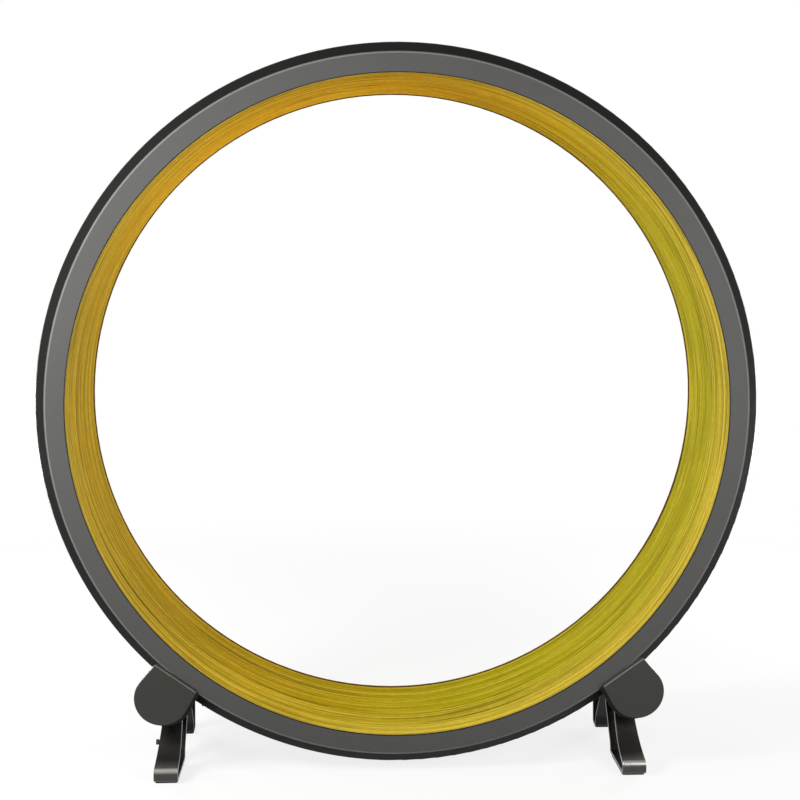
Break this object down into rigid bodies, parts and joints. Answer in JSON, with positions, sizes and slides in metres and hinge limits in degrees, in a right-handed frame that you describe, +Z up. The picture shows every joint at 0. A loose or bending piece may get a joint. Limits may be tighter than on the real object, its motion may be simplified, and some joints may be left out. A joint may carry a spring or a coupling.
{
  "type": "cat exercise wheel",
  "caption": "Large open hoop wheel with a ribbed running mat inside, turning on four small rollers in two low feet joined by a bar behind the wheel.",
  "frame": {"origin": "on the floor, under the middle of the whole object; the wheel is centred on X = 0 and its mid-depth lies 9 mm behind the origin, because the front feet reach out further than anything at the rear", "axes": "+Z up; +Y along the wheel axis, away from the pictured side; +X to the right as seen in the picture"},
  "size_m": [0.9999, 0.266, 1.01],
  "materials": {
    "rim_paint": "satin grey powder coat",
    "drum_shell": "moulded black plastic",
    "running_mat": "yellow mat with fine ribs around the wheel",
    "zinc_screws": "zinc plated",
    "roller_tyre": "satin",
    "roller_hub": "moulded grey plastic",
    "bearing_steel": "ground steel",
    "axle_steel": "turned steel",
    "spacer_alloy": "turned",
    "stand_paint": "satin black powder coat",
    "cheek_plastic": "moulded dark grey plastic",
    "foot_rubber": "matt",
    "bolt_steel": "zinc plated"
  },
  "bodies": {
    "stand": {"edge_screw": "zinc_screws", "bearing_inner_rings_right": "bearing_steel", "bearing_inner_rings_left": "bearing_steel", "bearing_balls_right": "bearing_steel", "bearing_balls_left": "bearing_steel", "roller_axle_right": "axle_steel", "roller_axle_left": "axle_steel", "axle_spacers_right": "spacer_alloy", "axle_spacers_left": "spacer_alloy", "roller_carriage_right": "stand_paint", "roller_carriage_left": "stand_paint", "foot_loop_right_front": "stand_paint", "foot_loop_right_rear": "stand_paint", "foot_loop_left_front": "stand_paint", "foot_loop_left_rear": "stand_paint", "rear_tie_bar": "stand_paint", "cheek_cap_right_front": "cheek_plastic", "cheek_cap_right_rear": "cheek_plastic", "cheek_cap_left_front": "cheek_plastic", "cheek_cap_left_rear": "cheek_plastic", "foot_pad_right_front": "foot_rubber", "foot_pad_right_rear": "foot_rubber", "foot_pad_left_front": "foot_rubber", "foot_pad_left_rear": "foot_rubber", "foot_bolts": "bolt_steel", "foot_nuts": "bolt_steel", "tie_bolts": "bolt_steel", "tie_nuts": "bolt_steel", "cheek_screws": "bolt_steel", "axle_clips": "bolt_steel"},
    "wheel": {"front_rim": "rim_paint", "rear_rim": "rim_paint", "drum_panel_1": "drum_shell", "drum_panel_2": "drum_shell", "drum_panel_3": "drum_shell", "drum_panel_4": "drum_shell", "drum_panel_5": "drum_shell", "drum_panel_6": "drum_shell", "panel_joint_strips": "drum_shell", "panel_joint_screws": "zinc_screws", "rim_screws_front": "zinc_screws", "rim_screws_rear": "zinc_screws", "running_mat": "running_mat"},
    "roller_right_front": {"roller_tyre_right_front": "roller_tyre", "roller_hub_right_front": "roller_hub", "bearing_outer_rings_right_front": "bearing_steel"},
    "roller_right_rear": {"roller_tyre_right_rear": "roller_tyre", "roller_hub_right_rear": "roller_hub", "bearing_outer_rings_right_rear": "bearing_steel"},
    "roller_left_front": {"roller_tyre_left_front": "roller_tyre", "roller_hub_left_front": "roller_hub", "bearing_outer_rings_left_front": "bearing_steel"},
    "roller_left_rear": {"roller_tyre_left_rear": "roller_tyre", "roller_hub_left_rear": "roller_hub", "bearing_outer_rings_left_rear": "bearing_steel"}
  },
  "joints": [
    {"name": "wheel_spin", "type": "hinge", "parent": "stand", "child": "wheel", "pos_m": [0, 0.009, 0.51], "axis": [0, 1, 0], "continuous": true},
    {"name": "roller_spin_right_front", "type": "hinge", "parent": "stand", "child": "roller_right_front", "pos_m": [0.32618, 0.009, 0.1072], "axis": [0, 1, 0], "continuous": true},
    {"name": "roller_spin_right_rear", "type": "hinge", "parent": "stand", "child": "roller_right_rear", "pos_m": [0.32618, 0.009, 0.1072], "axis": [0, 1, 0], "continuous": true},
    {"name": "roller_spin_left_front", "type": "hinge", "parent": "stand", "child": "roller_left_front", "pos_m": [-0.32618, 0.009, 0.1072], "axis": [0, 1, 0], "continuous": true},
    {"name": "roller_spin_left_rear", "type": "hinge", "parent": "stand", "child": "roller_left_rear", "pos_m": [-0.32618, 0.009, 0.1072], "axis": [0, 1, 0], "continuous": true}
  ],
  "couplings": [
    {"joint": "roller_spin_right_front", "follows": "wheel_spin", "ratio": -27.778},
    {"joint": "roller_spin_right_rear", "follows": "wheel_spin", "ratio": -27.778},
    {"joint": "roller_spin_left_front", "follows": "wheel_spin", "ratio": -27.778},
    {"joint": "roller_spin_left_rear", "follows": "wheel_spin", "ratio": -27.778}
  ]
}
